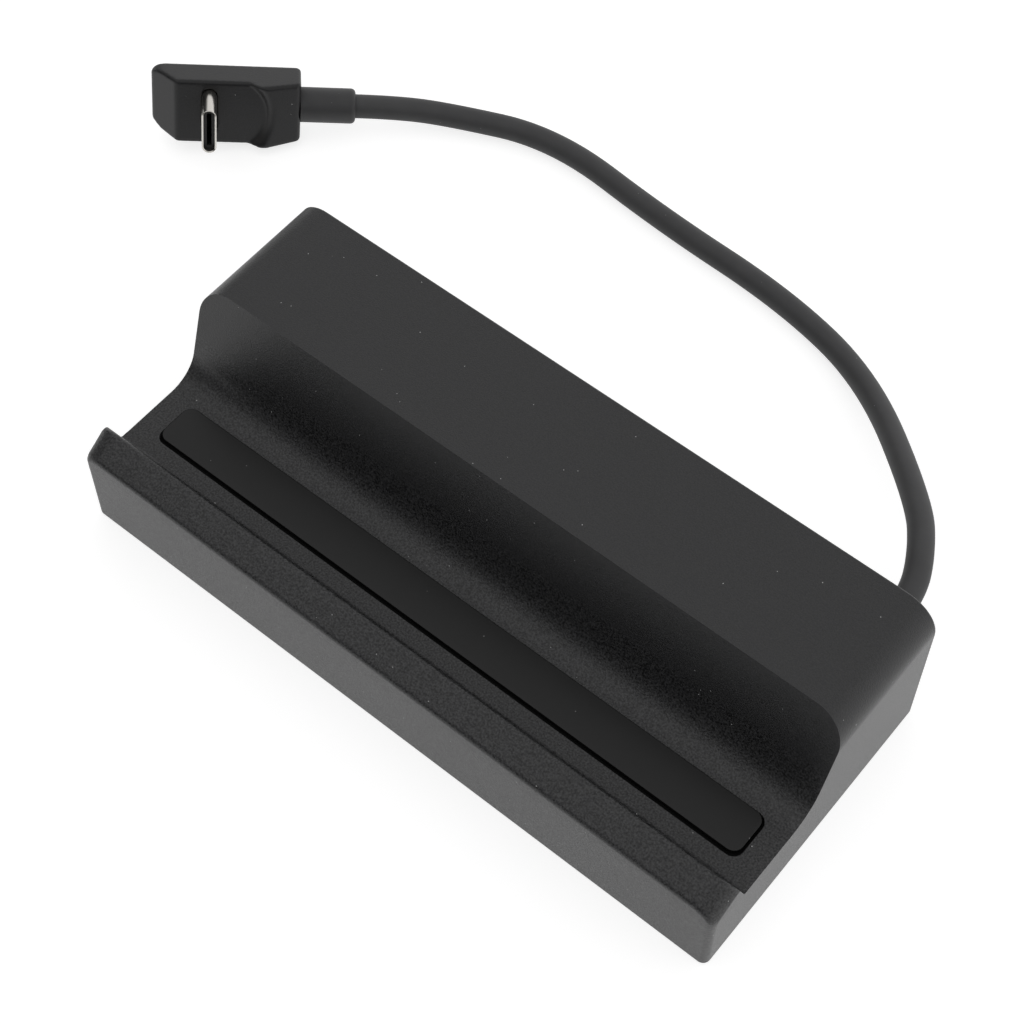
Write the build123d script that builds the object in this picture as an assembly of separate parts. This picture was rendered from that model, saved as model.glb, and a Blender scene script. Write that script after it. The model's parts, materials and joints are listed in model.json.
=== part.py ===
"""Desk dock for a handheld console: a moulded cradle with a captive cable and a right-angle plug.

Millimetres. The front faces -Y, the sockets face +Y and +Z is up. The origin is on the table,
under the middle of the housing.
"""
import os
from dataclasses import dataclass
from math import radians, tan

from build123d import *

# Housing, outside
dock_width = 117.0
dock_depth = 50.5
dock_height = 29.0
wall = 2.2
block_end_round = 5.5
lip_end_round = 3.5
front_round = 1.2
back_round = 0.4
front_lean = 0.3

# Front lip and cradle channel, heights from the table
lip_edge_z = 16.1
lip_crest_z = 18.1
lip_crest_inset = 5.3
lip_crest_cut = 1.5
lip_crest_flat = 0.65
lip_foot_inset = 7.2
lip_blend = 1.5
floor_z = 11.7
block_top_depth = 21.65
cradle_lean = 19.0
cradle_blend = 6.0

# Cradle pad, let into the channel floor against the rear and one end of its recess
pad_width = 108.6
pad_depth = 6.8
pad_thick = 1.0
pad_corner = 1.6
pad_back_gap = 0.16
pad_shift = -0.1
pad_fit = 0.1
pad_gap_front = 0.9
pad_gap_end = 0.6

# Foot and bottom cover
foot_proud = 0.5
foot_thick = 1.3
foot_border = 5.0
foot_corner = 4.0
foot_fit = 0.15
cover_thick = 1.8
cover_fit = 0.15
rim_thick = 1.2
rim_corner = 0.6

# Hooks along the cover's front edge, which hold it in pockets of the shell's front wall
hook_inset = 24.0
hook_width = 8.0
hook_thick = 1.2
hook_high = 3.0
hook_reach = 0.6
hook_barb = 1.2

# Housing screws, driven upwards into posts of the shell
post_dia = 5.0
post_foot_z = 4.2
post_inset = 6.0
post_from_back = 17.55
screw_dia = 2.0
screw_length = 5.6
screw_head_dia = 3.8
screw_head_high = 1.2
screw_head_cover = 1.6
thread_fit = 0.03
hole_fit = 0.2

# Main board on standoffs and rests of the cover
board_thick = 1.6
board_depth = 31.25
board_lift = 2.3
board_edge_gap = 0.8
board_post_gap = 0.4
standoff_dia = 4.6
rest_size = 3.0
rest_inset_x = 12.0
rest_inset_y = 3.0
board_screw_dia = 1.8
board_screw_length = 3.4
board_screw_head_dia = 3.4
board_screw_head_high = 1.2
board_screw_x = 29.5
board_screw_from_back = 19.55

# Sockets in the back wall
socket_recess = 0.5
socket_clearance = 0.25
insert_fit = 0.03
insert_back = 2.0
tongue_recess = 1.2
power_width = 9.0
power_height = 3.2
power_deep = 8.0
power_sheet = 0.3
power_tongue_width = 6.7
power_tongue_thick = 0.7
video_sheet = 0.35
video_tongue_side = 1.7
video_tongue_thick = 1.0
video_a_width = 15.0
video_a_height = 5.6
video_a_deep = 11.5
video_a_cut = 1.7
video_b_width = 16.9
video_b_height = 5.6
video_b_deep = 12.0
video_b_cut = 2.0
network_width = 16.0
network_height = 13.3
network_deep = 15.0
network_sheet = 0.4
network_mouth_width = 11.8
network_mouth_height = 8.2
network_mouth_sill = 2.6
network_mouth_deep = 12.0
network_latch_width = 6.2
network_latch_deep = 1.5
data_width = 5.7
data_height = 13.1
data_deep = 14.0
data_sheet = 0.3
data_tongue_thick = 1.84
data_tongue_side = 0.8
data_tongue_shift = 0.95

# Parts on the board: width, depth and height, and steps from the sockets that they serve
chip_row_deep = 24.75
hub_chip_size = (10.0, 10.0, 0.9)
hub_chip_step = 6.5
video_chip_size = (9.0, 9.0, 0.9)
video_chip_step = -7.5
memory_chip_size = (5.0, 4.0, 1.5)
memory_chip_step = (9.5, -4.0)
network_chip_size = (6.0, 6.0, 0.9)
network_chip_step = (-19.0, -4.0)
power_chip_size = (6.0, 6.0, 0.9)
power_chip_step = (-1.0, -1.0)
transformer_size = (12.6, 7.0, 3.2)
transformer_step = -1.0
transformer_gap = 2.65
inductor_size = (7.0, 7.0, 3.0)
inductor_step = -3.0
inductor_gap = 5.75
crystal_size = (3.2, 2.5, 0.8)
hub_crystal_step = (9.5, 2.0)
network_crystal_step = (6.5, 0.5)
can_dia = 5.0
can_high = 5.8
can_steps = (-2.5, 3.5)
can_gap = 3.15
spreader_thick = 1.0
spreader_margin = 1.0
thermal_pad_thick = 0.6

# Cable, its route from the grommet to the plug, and its tail inside
cable_dia = 4.1
cable_route = [
    (50.7, 27.5, 14.0),
    (50.7, 33.6, 14.0),
    (47.7, 40.6, 14.0),
    (42.4, 48.6, 12.0),
    (20.9, 69.1, 2.1),
    (0.9, 73.9, 2.1),
    (-24.6, 74.7, 2.1),
    (-50.1, 77.6, 2.1),
    (-68.1, 69.4, 2.8),
    (-74.9, 64.1, 4.2),
    (-79.9, 59.5, 5.0),
]
sleeve_dia = 6.0
grommet_fit = 0.1
grommet_flange = 9.0
grommet_flange_thick = 2.0
tail_width = 4.0
tail_thick = 1.6
tail_bend = 4.5
tail_drop = 12.75
tail_connector_size = (7.0, 6.0, 2.8)

# Plug, along the cable's last run, with the connector standing out from its front
plug_roll = 15.0
plug_sleeve_length = 9.4
plug_length = 26.1
plug_width = 11.3
plug_thick = 5.9
plug_bevel = 5.15
plug_tip_corner = 3.8
plug_ramp_lean = 13.4
plug_scoop_radius = 6.6
plug_scoop_offset = 2.9
plug_scoop_flare = 40.0
plug_scoop_rim = 1.2
plug_round = 0.9
plug_side_chamfer = 0.3
connector_inset = 10.7
connector_width = 2.5
connector_height = 8.3
connector_length = 6.65
connector_root = 2.0
connector_sheet = 0.3
connector_slot = 0.8
connector_slot_side = 0.7
connector_insert_recess = 0.9

# Derived places
half_width = dock_width / 2
front_y = -dock_depth / 2
back_y = dock_depth / 2
inner_half_width = half_width - wall
inner_front_y = front_y + wall
inner_back_y = back_y - wall
block_front_y = back_y - block_top_depth
cradle_foot_y = block_front_y - (dock_height - floor_z) * tan(radians(cradle_lean))
blend_start_y = cradle_foot_y - cradle_blend * tan(radians(90 - cradle_lean) / 2)
pad_rear_y = blend_start_y - pad_back_gap
cover_top_z = foot_proud + cover_thick
post_x = inner_half_width - post_inset
post_y = inner_back_y - post_from_back
hook_x = inner_half_width - hook_inset
board_z = cover_top_z + board_lift
board_top_z = board_z + board_thick
board_back_y = inner_back_y - board_edge_gap
board_screw_y = inner_back_y - board_screw_from_back
mouth_y = back_y - socket_recess
chip_row_y = mouth_y - chip_row_deep
tail_drop_y = back_y - tail_drop

MIN_Z = (Align.CENTER, Align.CENTER, Align.MIN)
BOTH_ENDS = (-1, 1)


def plate(width, depth, corner, bottom, thick, centre=(0.0, 0.0)):
    """A flat plate with rounded corners, lying on the height 'bottom'."""
    outline = Pos(centre[0], centre[1], bottom) * RectangleRounded(width, depth, corner)
    return extrude(outline, thick)


def block(size, centre, bottom):
    """A square-cornered block standing on the height 'bottom'."""
    return Pos(centre[0], centre[1], bottom) * Box(*size, align=MIN_Z)


def rod(diameter, height, centre, bottom):
    """An upright cylinder standing on the height 'bottom'."""
    return Pos(centre[0], centre[1], bottom) * Cylinder(diameter / 2, height, align=MIN_Z)


def inward(outline, x, z, mouth, deep):
    """A prism of an outline drawn in X and Z, from its mouth towards the front of the dock."""
    return extrude(Plane.XZ.offset(-mouth) * (Pos(x, z) * outline), deep)


def group(solids):
    """Separate solids that share one node."""
    return Compound(children=list(solids))


# Where the cable leaves the back wall
def unit(start, end):
    return (Vector(end) - Vector(start)).normalized()


def exit_point():
    """Where the cable passes through the outside of the back wall, square to it."""
    return Vector(cable_route[0][0], back_y, cable_route[0][2])


# Outlines of the sockets, each drawn about its middle
def power_outline(inset=0.0):
    return SlotOverall(power_width - 2 * inset, power_height - 2 * inset)


def video_a_outline(inset=0.0):
    """Wide at the top, with both lower corners cut."""
    half = video_a_width / 2 - inset
    top = video_a_height / 2 - inset
    cut = video_a_cut
    upper = [(-half, top), (half, top)]
    lower = [(half, cut - top), (half - cut, -top), (cut - half, -top), (-half, cut - top)]
    return make_face(Polyline(*upper, *lower, close=True))


def video_b_outline(inset=0.0):
    """A rectangle with one lower corner cut."""
    half = video_b_width / 2 - inset
    top = video_b_height / 2 - inset
    cut = video_b_cut
    corners = [(-half, top), (half, top), (half, cut - top), (half - cut, -top), (-half, -top)]
    return make_face(Polyline(*corners, close=True))


def network_outline(inset=0.0):
    return Rectangle(network_width - 2 * inset, network_height - 2 * inset)


def data_outline(inset=0.0):
    return Rectangle(data_width - 2 * inset, data_height - 2 * inset)


@dataclass
class Socket:
    """A socket that stands on the board: its outline, its sizes and its place along the wall."""

    outline: object
    width: float
    height: float
    deep: float
    sheet: float
    x: float = 0.0

    @property
    def z(self):
        return board_top_z + self.height / 2

    @property
    def back_y(self):
        return mouth_y - self.deep


def socket_row():
    """The sockets from the far end wall to the cable's grommet, with even gaps between them."""
    row = {
        f"data_socket_{number}": Socket(data_outline, data_width, data_height, data_deep, data_sheet)
        for number in (3, 2, 1)
    }
    row["network_socket"] = Socket(
        network_outline, network_width, network_height, network_deep, network_sheet
    )
    row["video_socket_b"] = Socket(
        video_b_outline, video_b_width, video_b_height, video_b_deep, video_sheet
    )
    row["video_socket_a"] = Socket(
        video_a_outline, video_a_width, video_a_height, video_a_deep, video_sheet
    )
    row["power_socket"] = Socket(power_outline, power_width, power_height, power_deep, power_sheet)
    room = inner_half_width + exit_point().X - grommet_flange / 2
    gap = (room - sum(socket.width for socket in row.values())) / (len(row) + 1)
    edge = -inner_half_width
    for socket in row.values():
        socket.x = edge + gap + socket.width / 2
        edge += gap + socket.width
    return row


sockets = socket_row()


# Top shell
def side_profile(inset=0.0):
    """The housing's section across its width, or that section moved inwards by a wall."""
    corners = [
        (front_y, foot_proud),
        (front_y + front_lean, lip_edge_z),
        (front_y + lip_crest_inset, lip_crest_z),
        (front_y + lip_foot_inset, floor_z),
        (cradle_foot_y, floor_z),
        (block_front_y, dock_height),
        (back_y, dock_height),
        (back_y, foot_proud),
    ]
    if inset:
        section = make_face(Polyline(*corners, close=True))
        return Plane.YZ * offset(section, -inset, kind=Kind.INTERSECTION)
    radii = [0, 0, 0, lip_blend, cradle_blend, 0, 0, 0]
    return Plane.YZ * make_face(FilletPolyline(*corners, radius=radii, close=True))


def crest_cut():
    """What the blunt crest of the lip leaves off the sharp one."""
    crest = Vector(front_y + lip_crest_inset, lip_crest_z)
    front = crest + unit(crest, (front_y + front_lean, lip_edge_z)) * lip_crest_cut
    rear = crest + unit(crest, (front_y + lip_foot_inset, floor_z)) * lip_crest_cut
    inward_step = (front + rear) / 2 - crest
    arc = ThreePointArc(front, crest + inward_step * lip_crest_flat, rear)
    outside = Polyline(rear, crest - inward_step, front)
    return extrude(Plane.YZ * make_face(arc + outside), dock_width, both=True)


def outer_body():
    """The housing as a full solid with its rounded ends and edges."""
    body = extrude(side_profile(), half_width, both=True)
    lip_middle = (front_y + (front_lean + lip_crest_inset) / 2, (lip_edge_z + lip_crest_z) / 2)
    block_middle = ((block_front_y + back_y) / 2, dock_height)
    for (y, z), radius in ((lip_middle, lip_end_round), (block_middle, block_end_round)):
        ends = [body.edges().sort_by_distance((end * half_width, y, z))[0] for end in BOTH_ENDS]
        body = fillet(ends, radius)
    front_edge = body.edges().sort_by_distance((0, front_y + front_lean, lip_edge_z))[0]
    body = fillet(front_edge, front_round)
    back_edge = body.edges().sort_by_distance((0, back_y, dock_height))[0]
    return fillet(back_edge, back_round) - crest_cut()


def inner_space():
    """The hollow under the housing's walls, open at the bottom."""
    space = extrude(side_profile(wall), inner_half_width, both=True)
    throat = (2 * inner_half_width, inner_back_y - inner_front_y, 2 * wall)
    return space + block(throat, (0, 0), foot_proud)


def cover_rebate():
    width = dock_width - 2 * rim_thick
    depth = dock_depth - 2 * rim_thick
    return plate(width, depth, rim_corner, foot_proud, cover_thick)


def post_places():
    return [(end * post_x, post_y) for end in BOTH_ENDS]


def screw_pilots():
    depth = screw_length - screw_head_cover + hole_fit
    dia = screw_dia + 2 * thread_fit
    return [rod(dia, depth, place, post_foot_z) for place in post_places()]


def hook_pockets():
    """The pockets in the front wall that take the barbs of the cover's hooks."""
    size = (
        hook_width + 2 * cover_fit,
        hook_reach + 2 * cover_fit,
        hook_barb + 2 * cover_fit,
    )
    bottom = cover_top_z + hook_high - hook_barb - cover_fit
    y = inner_front_y + cover_fit - size[1] / 2
    return [block(size, (end * hook_x, y), bottom) for end in BOTH_ENDS]


def pad_recess():
    width = pad_width + pad_fit + pad_gap_end
    depth = pad_depth + pad_fit + pad_gap_front
    x = pad_shift + (pad_gap_end - pad_fit) / 2
    y = pad_rear_y + pad_fit - depth / 2
    return plate(width, depth, pad_corner + pad_fit, floor_z - pad_thick, pad_thick, (x, y))


def cradle_pad():
    y = pad_rear_y - pad_depth / 2
    return plate(pad_width, pad_depth, pad_corner, floor_z - pad_thick, pad_thick, (pad_shift, y))


def socket_openings():
    """The cut-outs in the back wall, a little larger than the sockets that stand in them."""
    return [
        inward(socket.outline(-socket_clearance), socket.x, socket.z, back_y, wall)
        for socket in sockets.values()
    ]


def grommet_hole():
    start = exit_point()
    return inward(Circle(sleeve_dia / 2 + grommet_fit), start.X, start.Z, back_y, wall)


def top_shell():
    space = inner_space()
    shell = outer_body() - space - cover_rebate()
    for place in post_places():
        post = rod(post_dia, dock_height - post_foot_z, place, post_foot_z)
        shell += post & space
    shell -= screw_pilots()
    shell -= hook_pockets()
    shell -= pad_recess()
    shell -= socket_openings()
    return shell - grommet_hole()


# Bottom cover, foot and screws
def cover_hooks():
    """Upright tongues with a barb that points at the front wall."""
    hooks = []
    for end in BOTH_ENDS:
        face_y = inner_front_y + cover_fit
        stem = (hook_width, hook_thick, hook_high)
        hooks.append(block(stem, (end * hook_x, face_y + hook_thick / 2), cover_top_z))
        barb = (hook_width, hook_reach + cover_fit, hook_barb)
        barb_y = face_y - barb[1] / 2
        hooks.append(block(barb, (end * hook_x, barb_y), cover_top_z + hook_high - hook_barb))
    return hooks


def board_rests():
    """Plain supports under the board's four corners."""
    rests = []
    for end in BOTH_ENDS:
        x = end * (inner_half_width - rest_inset_x)
        for y in (board_back_y - board_depth + rest_inset_y, board_back_y - rest_inset_y):
            rests.append(block((rest_size, rest_size, board_lift), (x, y), cover_top_z))
    return rests


def bottom_cover():
    width = dock_width - 2 * rim_thick - 2 * cover_fit
    depth = dock_depth - 2 * rim_thick - 2 * cover_fit
    cover = plate(width, depth, rim_corner, foot_proud, cover_thick)
    cover -= plate(
        dock_width - 2 * foot_border + 2 * foot_fit,
        dock_depth - 2 * foot_border + 2 * foot_fit,
        foot_corner + foot_fit,
        foot_proud,
        foot_thick - foot_proud,
    )
    cover += cover_hooks()
    cover += board_rests()
    head_hole = screw_head_dia + 2 * hole_fit
    bearing_z = post_foot_z - screw_head_cover
    for place in post_places():
        cover += rod(head_hole + 2 * rim_thick, post_foot_z - cover_top_z, place, cover_top_z)
        cover -= rod(head_hole, bearing_z - foot_proud, place, foot_proud)
        cover -= rod(screw_dia + 2 * hole_fit, screw_head_cover, place, bearing_z)
    for place in board_screw_places():
        cover += rod(standoff_dia, board_lift, place, cover_top_z)
        cover -= rod(board_screw_dia + 2 * thread_fit, board_lift, place, cover_top_z)
    return cover


def base_foot():
    width = dock_width - 2 * foot_border
    depth = dock_depth - 2 * foot_border
    return plate(width, depth, foot_corner, 0.0, foot_thick)


def housing_screws():
    """Pan-head screws with their heads down, sunk in the cover's bosses."""
    bearing_z = post_foot_z - screw_head_cover
    return group(
        rod(screw_head_dia, screw_head_high, place, bearing_z - screw_head_high)
        + rod(screw_dia, screw_length, place, bearing_z)
        for place in post_places()
    )


# Main board and the parts on it
def board_screw_places():
    return [(end * board_screw_x, board_screw_y) for end in BOTH_ENDS]


def main_board():
    width = 2 * (inner_half_width - board_edge_gap)
    size = (width, board_depth, board_thick)
    board = block(size, (0, board_back_y - board_depth / 2), board_z)
    notch_start = post_x - post_dia / 2 - board_post_gap
    notch_end = inner_half_width
    notch = (notch_end - notch_start, post_dia + 2 * board_post_gap, board_thick)
    for end in BOTH_ENDS:
        board -= block(notch, (end * (notch_start + notch_end) / 2, post_y), board_z)
    for place in board_screw_places():
        board -= rod(board_screw_dia + 2 * hole_fit, board_thick, place, board_z)
    return board


def board_screws():
    """Pan-head screws with their heads on the board, driven down into the standoffs."""
    return group(
        rod(board_screw_head_dia, board_screw_head_high, place, board_top_z)
        + rod(board_screw_dia, board_screw_length, place, board_top_z - board_screw_length)
        for place in board_screw_places()
    )


def hub_chip_place():
    return sockets["video_socket_b"].x + hub_chip_step, chip_row_y


def video_chip_place():
    return sockets["video_socket_b"].x + video_chip_step, chip_row_y


def network_chip_place():
    step_x, step_y = network_chip_step
    return sockets["network_socket"].x + step_x, chip_row_y + step_y


def beside(place, step):
    return place[0] + step[0], place[1] + step[1]


def behind(socket, step, gap, depth):
    """The middle of a part that lies inward of a socket, with a gap between them."""
    return socket.x + step, socket.back_y - gap - depth / 2


def block_parts():
    """Every block-shaped part that stands alone on the board: its size and its middle."""
    power = sockets["power_socket"]
    network = sockets["network_socket"]
    return {
        "hub_chip": (hub_chip_size, hub_chip_place()),
        "video_chip": (video_chip_size, video_chip_place()),
        "memory_chip": (memory_chip_size, beside(hub_chip_place(), memory_chip_step)),
        "network_chip": (network_chip_size, network_chip_place()),
        "power_chip": (power_chip_size, beside((power.x, chip_row_y), power_chip_step)),
        "network_transformer": (
            transformer_size,
            behind(network, transformer_step, transformer_gap, transformer_size[1]),
        ),
        "power_inductor": (
            inductor_size, behind(power, inductor_step, inductor_gap, inductor_size[1])
        ),
        "tail_connector": (tail_connector_size, (exit_point().X, tail_drop_y)),
    }


def crystals():
    places = (
        beside(hub_chip_place(), hub_crystal_step),
        beside(network_chip_place(), network_crystal_step),
    )
    return group(block(crystal_size, place, board_top_z) for place in places)


def bulk_capacitors():
    video_a = sockets["video_socket_a"]
    places = [behind(video_a, step, can_gap, can_dia) for step in can_steps]
    return group(rod(can_dia, can_high, place, board_top_z) for place in places)


def hot_chips():
    return (hub_chip_size, hub_chip_place()), (video_chip_size, video_chip_place())


def thermal_pads():
    return group(
        block((size[0], size[1], thermal_pad_thick), place, board_top_z + size[2])
        for size, place in hot_chips()
    )


def heat_spreader():
    """A plate that covers both hot chips and rests on their soft pads."""
    low_x = min(place[0] - size[0] / 2 for size, place in hot_chips()) - spreader_margin
    high_x = max(place[0] + size[0] / 2 for size, place in hot_chips()) + spreader_margin
    depth = max(size[1] for size, place in hot_chips()) + 2 * spreader_margin
    bottom = board_top_z + hub_chip_size[2] + thermal_pad_thick
    size = (high_x - low_x, depth, spreader_thick)
    return block(size, ((low_x + high_x) / 2, chip_row_y), bottom)


# Sockets: a folded sheet shell round an insulating insert
def socket_shell(socket):
    tube = inward(socket.outline(), socket.x, socket.z, mouth_y, socket.deep)
    bore = inward(socket.outline(socket.sheet), socket.x, socket.z, mouth_y, socket.deep)
    return tube - bore


def tongue_insert(socket, tongue, shift=0.0):
    """A back block that fills the shell, and a contact tongue from it almost to the mouth."""
    z = socket.z - insert_fit
    filling = socket.outline(socket.sheet + insert_fit)
    back = inward(filling, socket.x, z, socket.back_y + insert_back, insert_back)
    deep = socket.deep - tongue_recess
    return back + inward(tongue, socket.x + shift, z, mouth_y - tongue_recess, deep)


def network_insert(socket):
    """A block with the plug's mouth and, under it, the slot for the plug's latch."""
    z = socket.z - insert_fit
    body = inward(socket.outline(socket.sheet + insert_fit), socket.x, z, mouth_y, socket.deep)
    sill_z = board_top_z + network_mouth_sill
    mouth = Rectangle(network_mouth_width, network_mouth_height)
    latch = Rectangle(network_latch_width, 2 * network_latch_deep)
    mouth_z = sill_z + network_mouth_height / 2
    body -= inward(mouth, socket.x, mouth_z, mouth_y, network_mouth_deep)
    return body - inward(latch, socket.x, sill_z, mouth_y, network_mouth_deep)


def socket_insert(name, socket):
    if name == "network_socket":
        return network_insert(socket)
    if name == "power_socket":
        return tongue_insert(socket, Rectangle(power_tongue_width, power_tongue_thick))
    if name.startswith("video"):
        tongue = Rectangle(socket.width - 2 * video_tongue_side, video_tongue_thick)
        return tongue_insert(socket, tongue)
    tongue = Rectangle(data_tongue_thick, data_height - 2 * (data_sheet + data_tongue_side))
    return tongue_insert(socket, tongue, -data_tongue_shift)


# Cable, grommet and tail
def route_radii(points, share=0.45):
    """The arc at each corner of the route, which takes up a share of the shorter run beside it."""
    radii = []
    for before, corner, after in zip(points, points[1:], points[2:]):
        first = Vector(corner) - Vector(before)
        second = Vector(after) - Vector(corner)
        turn = radians(first.get_angle(second))
        radii.append(share * min(first.length, second.length) / tan(turn / 2))
    return radii


def along(path, section):
    """A section swept along a path, with its width kept level."""
    return sweep(Plane(origin=path @ 0, x_dir=(1, 0, 0), z_dir=path % 0) * section, path=path)


def cable():
    radii = route_radii(cable_route)
    path = FilletPolyline(*cable_route, radius=radii)
    tube = along(path, Circle(cable_dia / 2))
    print("cable radii", [round(radius, 1) for radius in radii])
    print("cable length", round(path.length, 1))
    print("volume over section x length", tube.volume / (path.length * Circle(cable_dia / 2).area))
    return tube


def cable_grommet():
    """A flange behind the wall and a short collar through it, where the cable begins."""
    start = exit_point()
    collar_end = cable_route[0][1]
    collar = inward(Circle(sleeve_dia / 2), start.X, start.Z, collar_end, collar_end - inner_back_y)
    flange = Rectangle(grommet_flange, grommet_flange)
    return collar + inward(flange, start.X, start.Z, inner_back_y, grommet_flange_thick)


def cable_tail():
    """The flat inner leads, from the grommet down to their connector on the board."""
    start = exit_point()
    corners = [
        (start.X, inner_back_y - grommet_flange_thick, start.Z),
        (start.X, tail_drop_y, start.Z),
        (start.X, tail_drop_y, board_top_z + tail_connector_size[2]),
    ]
    path = FilletPolyline(*corners, radius=[tail_bend])
    return along(path, Rectangle(tail_width, tail_thick))


# Plug, drawn with the cable entering along -X at the origin and the connector along -Y
tip_x = -plug_sleeve_length - plug_length
connector_x = tip_x + connector_inset
scoop_x = connector_x + plug_scoop_offset


def plug_place():
    towards_cable = unit(cable_route[-1], cable_route[-2])
    upright = (Vector(0, 0, 1) - towards_cable * towards_cable.Z).normalized()
    upright = upright.rotate(Axis((0, 0, 0), tuple(towards_cable)), -plug_roll)
    return Plane(origin=cable_route[-1], x_dir=towards_cable, z_dir=upright)


def plug_outline():
    """The plug seen along its width: flat back, bevelled free end and a ramp beside the cable."""
    end = -plug_sleeve_length
    back = plug_thick / 2
    front = -plug_thick / 2
    ramp_top = front - (end - scoop_x) * tan(radians(plug_ramp_lean))
    cable_side = [(end, back), (end, front), (scoop_x, ramp_top), (scoop_x, front)]
    free_side = [(tip_x + plug_bevel, front), (tip_x, back)]
    return make_face(Polyline(*cable_side, *free_side, close=True))


def plug_plan():
    """The plug seen from its front: square beside the cable, with rounded corners at its free end."""
    half = plug_width / 2
    corners = [(-plug_sleeve_length, half), (tip_x, half), (tip_x, -half), (-plug_sleeve_length, -half)]
    radii = [0, plug_tip_corner, plug_tip_corner, 0]
    return Plane.XZ * make_face(FilletPolyline(*corners, radius=radii, close=True))


def plug_body():
    """The moulded plug with the flared round hollow that its front has about the connector."""
    body = extrude(plug_outline(), plug_width / 2, both=True)
    rim_radius = plug_scoop_radius + plug_thick * tan(radians(plug_scoop_flare))
    hollow = Rot(90, 0, 0) * Cone(plug_scoop_radius, rim_radius, plug_thick, align=MIN_Z)
    body -= Pos(scoop_x, -plug_thick / 2, 0) * hollow
    body = fillet(body.edges().filter_by(GeomType.ELLIPSE), plug_scoop_rim)
    body = fillet(edges_across(body), plug_round)
    body = chamfer(edges_on_sides(body), plug_side_chamfer)
    body &= extrude(plug_plan(), 2 * plug_thick, both=True)
    return body - connector_prism(connector_outline(-insert_fit), connector_root, -connector_root)


def edges_across(body):
    """The edges that run straight across the whole width of the plug."""
    return [edge for edge in body.edges() if abs(edge.length - plug_width) < 0.001]


def edges_on_sides(body):
    """The edges all round the plug's two flat sides."""
    return [edge for edge in body.edges() if abs(abs(edge.center().Z) - plug_width / 2) < 0.001]


def connector_outline(inset=0.0):
    return Rot(0, 0, 90) * SlotOverall(connector_height - 2 * inset, connector_width - 2 * inset)


def connector_prism(outline, length, start=0.0):
    """A prism that stands out from the plug's front, from the distance 'start' in front of it."""
    plane = Plane.XZ.offset(plug_thick / 2 + start)
    return extrude(plane * (Pos(connector_x, 0) * outline), length)


def plug_shell():
    length = connector_root + connector_length
    tube = connector_prism(connector_outline(), length, -connector_root)
    return tube - connector_prism(connector_outline(connector_sheet), length, -connector_root)


def plug_insert():
    lining = connector_outline(connector_sheet + insert_fit)
    slot = Rectangle(connector_slot, connector_height - 2 * (connector_sheet + connector_slot_side))
    front = connector_length - connector_insert_recess
    filling = connector_prism(lining, connector_root + front, -connector_root)
    return filling - connector_prism(slot, front)


def plug_sleeve():
    sleeve = Rot(0, 90, 0) * Cylinder(sleeve_dia / 2, plug_sleeve_length, align=MIN_Z)
    return Pos(-plug_sleeve_length, 0, 0) * sleeve


def all_nodes():
    nodes = {
        "top_shell": top_shell(),
        "bottom_cover": bottom_cover(),
        "base_foot": base_foot(),
        "cradle_pad": cradle_pad(),
        "housing_screws": housing_screws(),
        "main_board": main_board(),
        "board_screws": board_screws(),
        "crystals": crystals(),
        "bulk_capacitors": bulk_capacitors(),
        "thermal_pads": thermal_pads(),
        "heat_spreader": heat_spreader(),
        "cable_grommet": cable_grommet(),
        "cable": cable(),
        "cable_tail": cable_tail(),
    }
    for node, (size, place) in block_parts().items():
        nodes[node] = block(size, place, board_top_z)
    for name, socket in sockets.items():
        nodes[f"{name}_shell"] = socket_shell(socket)
        nodes[f"{name}_insert"] = socket_insert(name, socket)
    place = plug_place()
    nodes["plug_body"] = place * plug_body()
    nodes["plug_sleeve"] = place * plug_sleeve()
    nodes["plug_shell"] = place * plug_shell()
    nodes["plug_insert"] = place * plug_insert()
    return nodes


os.makedirs("parts", exist_ok=True)
for node, shape in all_nodes().items():
    export_step(shape, f"parts/{node}.step")
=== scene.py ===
"""Studio scene of a desk dock for a handheld console: moulded housing, captive cable and plug.

Metres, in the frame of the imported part: the front faces -Y, the sockets face +Y and +Z is up.
"""
import json
from math import cos, pi, prod, radians, sin, sqrt, tan, tau

import bmesh
import bpy
from mathutils import Matrix, Quaternion, Vector


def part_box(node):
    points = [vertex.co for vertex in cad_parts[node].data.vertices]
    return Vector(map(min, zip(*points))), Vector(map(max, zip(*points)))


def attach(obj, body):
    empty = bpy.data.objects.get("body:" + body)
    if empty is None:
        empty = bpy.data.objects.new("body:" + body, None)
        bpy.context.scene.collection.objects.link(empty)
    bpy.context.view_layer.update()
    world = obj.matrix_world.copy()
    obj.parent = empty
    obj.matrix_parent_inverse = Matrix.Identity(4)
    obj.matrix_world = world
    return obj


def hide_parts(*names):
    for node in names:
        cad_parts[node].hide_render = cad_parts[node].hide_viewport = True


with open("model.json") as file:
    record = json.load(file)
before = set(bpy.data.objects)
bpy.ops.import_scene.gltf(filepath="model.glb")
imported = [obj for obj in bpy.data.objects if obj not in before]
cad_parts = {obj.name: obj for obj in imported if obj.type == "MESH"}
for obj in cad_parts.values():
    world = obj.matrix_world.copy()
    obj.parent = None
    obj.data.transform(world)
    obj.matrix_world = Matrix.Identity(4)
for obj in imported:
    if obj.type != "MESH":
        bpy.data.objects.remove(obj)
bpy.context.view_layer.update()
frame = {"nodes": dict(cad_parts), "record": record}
nodes = frame["nodes"]
scene = bpy.context.scene
mm = 0.001

# Camera, found by fitting the housing's corners to the photograph
image_px = 1024
focal_px = 2172.5
sensor_mm = 36.0
camera_azimuth = radians(39.985)
camera_elevation = radians(57.973)
camera_roll = radians(-0.779)
camera_target = Vector((-8.396, 14.85, 0.468)) * mm
camera_distance = 336.1 * mm
camera_near = 10 * mm

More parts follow.
